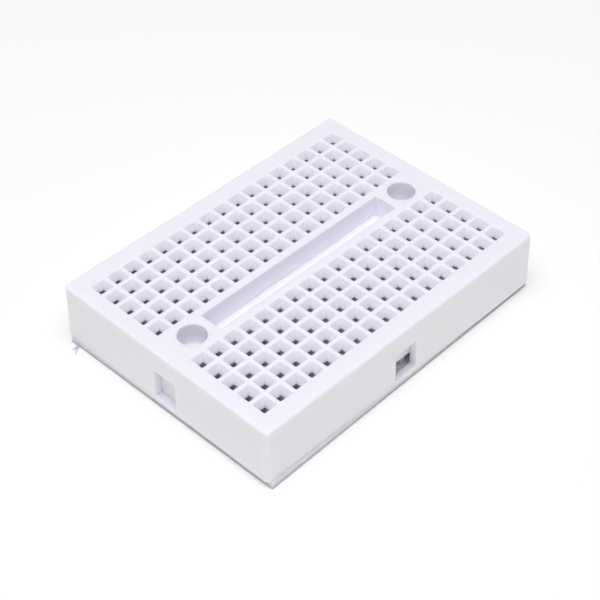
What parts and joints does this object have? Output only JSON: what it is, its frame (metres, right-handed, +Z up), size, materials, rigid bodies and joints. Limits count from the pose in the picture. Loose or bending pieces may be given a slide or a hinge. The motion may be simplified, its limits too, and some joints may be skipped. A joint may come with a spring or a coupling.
{
  "type": "solderless breadboard",
  "caption": "Small white solderless breadboard: funnel-shaped contact holes in two banks beside a centre trench, spring clips inside, side sockets and tabs, and a foam tape base.",
  "frame": {"origin": "centre of the housing's outline, on the underside of the release liner, where the board rests", "axes": "+X along the long side towards the short side with the tab, +Y along the short side towards the long side with the tab, +Z up through the contact holes"},
  "size_m": [0.0485, 0.0365, 0.0092],
  "materials": {
    "housing_abs": "fine moulded white ABS, slightly satin",
    "contact_metal": "nickel-plated phosphor bronze strip, stamped and folded",
    "foam_tape": "closed-cell polyethylene foam with acrylic adhesive on both faces",
    "liner_paper": "smooth silicone-coated release paper"
  },
  "bodies": {
    "board": {"housing": "housing_abs", "foam_tape": "foam_tape", "contact_clip_back_01": "contact_metal", "contact_clip_back_02": "contact_metal", "contact_clip_back_03": "contact_metal", "contact_clip_back_04": "contact_metal", "contact_clip_back_05": "contact_metal", "contact_clip_back_06": "contact_metal", "contact_clip_back_07": "contact_metal", "contact_clip_back_08": "contact_metal", "contact_clip_back_09": "contact_metal", "contact_clip_back_10": "contact_metal", "contact_clip_back_11": "contact_metal", "contact_clip_back_12": "contact_metal", "contact_clip_back_13": "contact_metal", "contact_clip_back_14": "contact_metal", "contact_clip_back_15": "contact_metal", "contact_clip_back_16": "contact_metal", "contact_clip_back_17": "contact_metal", "contact_clip_front_01": "contact_metal", "contact_clip_front_02": "contact_metal", "contact_clip_front_03": "contact_metal", "contact_clip_front_04": "contact_metal", "contact_clip_front_05": "contact_metal", "contact_clip_front_06": "contact_metal", "contact_clip_front_07": "contact_metal", "contact_clip_front_08": "contact_metal", "contact_clip_front_09": "contact_metal", "contact_clip_front_10": "contact_metal", "contact_clip_front_11": "contact_metal", "contact_clip_front_12": "contact_metal", "contact_clip_front_13": "contact_metal", "contact_clip_front_14": "contact_metal", "contact_clip_front_15": "contact_metal", "contact_clip_front_16": "contact_metal", "contact_clip_front_17": "contact_metal"},
    "liner": {"release_liner": "liner_paper"}
  },
  "joints": [
    {"name": "liner_peel", "type": "slide", "parent": "board", "child": "liner", "axis": [0, 0, -1], "range_m": [0, 0.012]}
  ]
}
